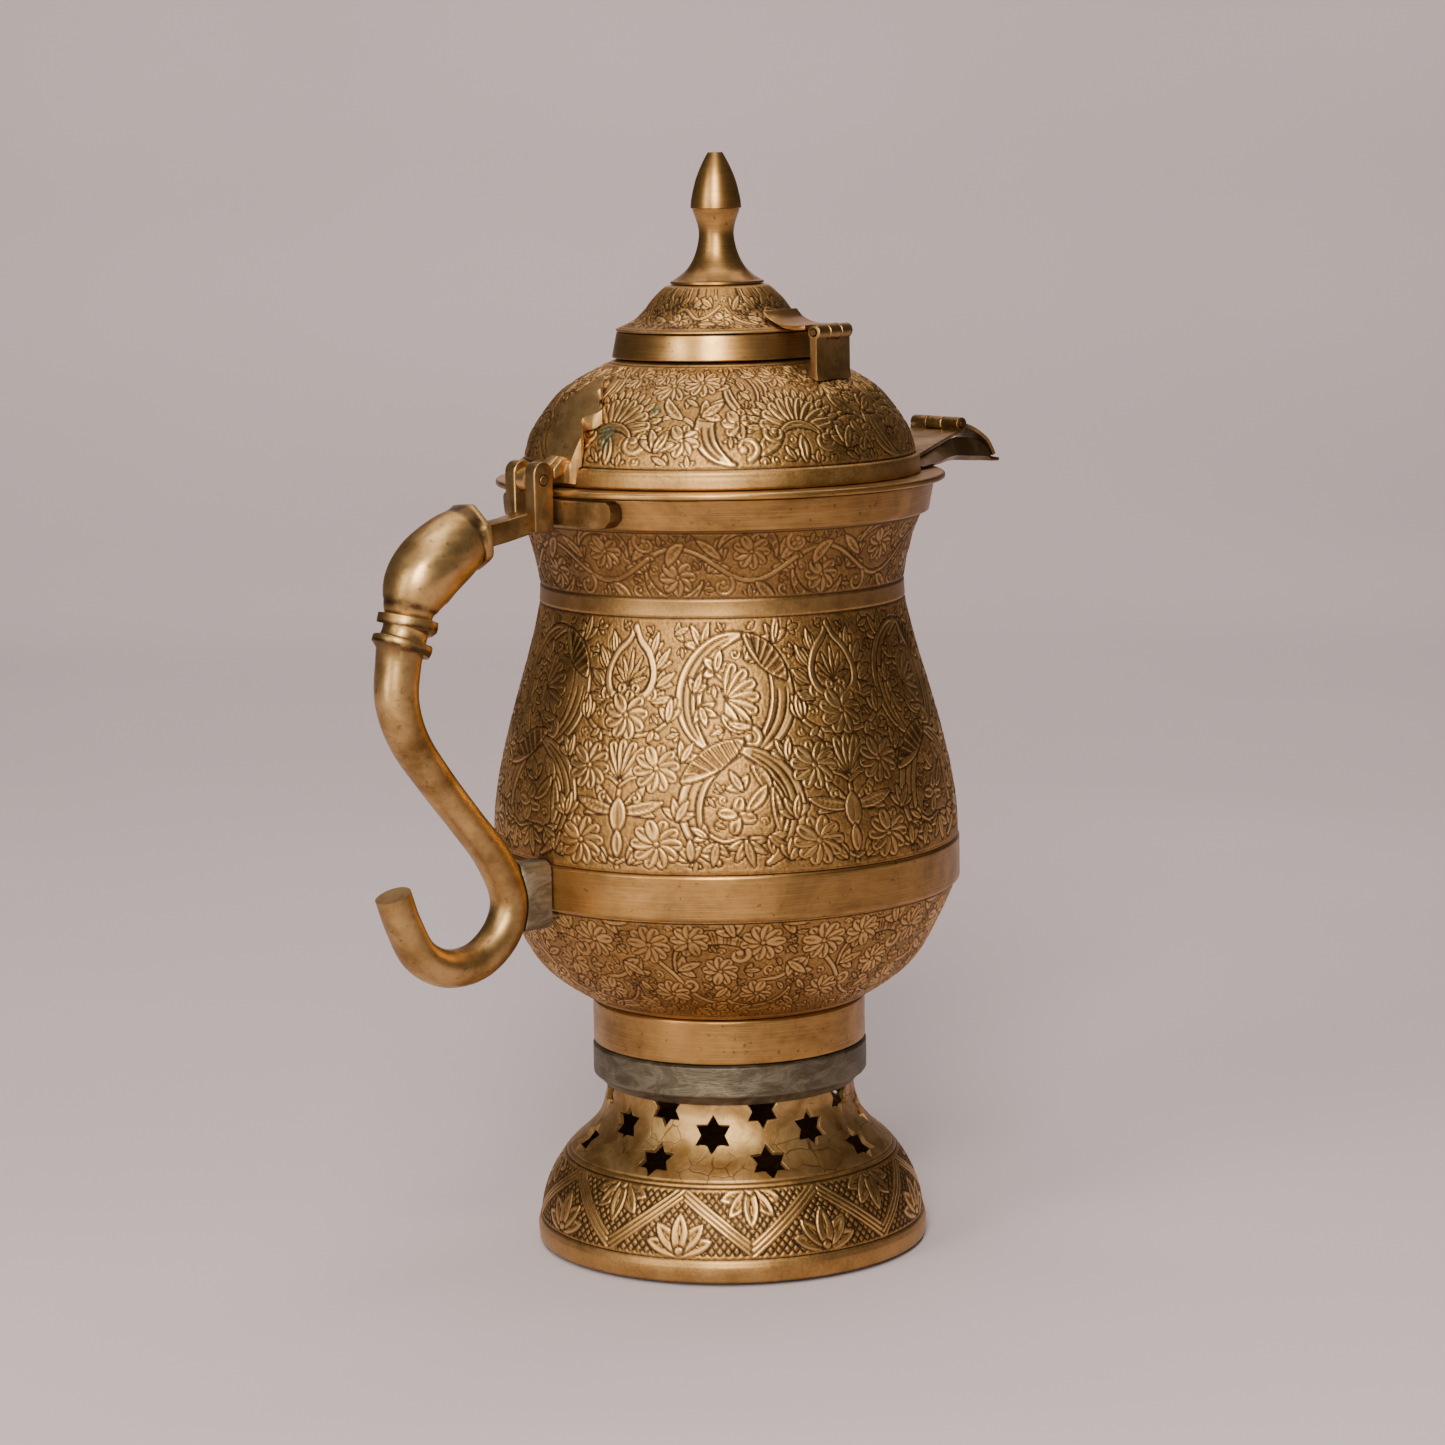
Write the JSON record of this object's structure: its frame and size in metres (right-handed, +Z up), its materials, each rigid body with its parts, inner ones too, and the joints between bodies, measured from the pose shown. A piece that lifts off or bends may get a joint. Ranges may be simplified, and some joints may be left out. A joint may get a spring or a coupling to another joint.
{
  "type": "lidded brass ewer",
  "caption": "Engraved pear-shaped brass ewer on a pierced foot, with a hinged dome lid, a beak spout with a flap, a hinged cap with an acorn finial, and a cast S handle.",
  "frame": {"origin": "on the ground, at the centre of the overall box seen from above; the turned axis of the pot is the line x = 0.0076, y = 0, because the handle reaches farther out than the spout", "axes": "+Z up along the turned axis; +X towards the beak spout, the handle at -X; the small cap's hinge is on the -Y side"},
  "size_m": [0.2044, 0.1208, 0.2798],
  "materials": {
    "engraved_brass": "chased and punched brass with dark recesses and worn bright highs",
    "plain_brass": "turned and brushed brass with a warm brown patina",
    "cast_brass": "cast and filed brass, polished by handling",
    "solder": "grey-green brazing and solder, matt and uneven",
    "dark_brass": "dark unpolished brass, hinge pins and inner ring"
  },
  "bodies": {
    "pot": {"pierced_base": "engraved_brass", "solder_ring": "solder", "foot_collar": "plain_brass", "lower_bowl": "engraved_brass", "belly_band": "plain_brass", "upper_body": "engraved_brass", "rim_collar": "plain_brass", "handle_bracket": "cast_brass", "handle_grip": "cast_brass", "handle_pad": "solder", "lid_hinge_pin": "dark_brass"},
    "lid": {"lid_flange": "plain_brass", "lid_skirt": "dark_brass", "lid_dome": "engraved_brass", "leaf_strap": "plain_brass", "cap_hinge_bracket": "cast_brass", "cap_hinge_pin": "dark_brass", "spout_shell": "cast_brass", "spout_roof": "cast_brass", "spout_hinge_pin": "dark_brass"},
    "cap": {"cap_band": "plain_brass", "cap_dome": "plain_brass", "finial": "plain_brass", "cap_strap": "plain_brass"},
    "flap": {"spout_flap": "cast_brass"}
  },
  "joints": [
    {"name": "lid_hinge", "type": "hinge", "parent": "pot", "child": "lid", "pos_m": [-0.0537, 0, 0.2014], "axis": [0, -1, 0], "range_deg": [0, 110]},
    {"name": "cap_hinge", "type": "hinge", "parent": "lid", "child": "cap", "pos_m": [0.01547, -0.0341, 0.2354], "axis": [0.9744, 0.225, 0], "range_deg": [0, 115]},
    {"name": "flap_hinge", "type": "hinge", "parent": "lid", "child": "flap", "pos_m": [0.084, 0, 0.207], "axis": [0, -1, 0], "range_deg": [0, 100]}
  ]
}
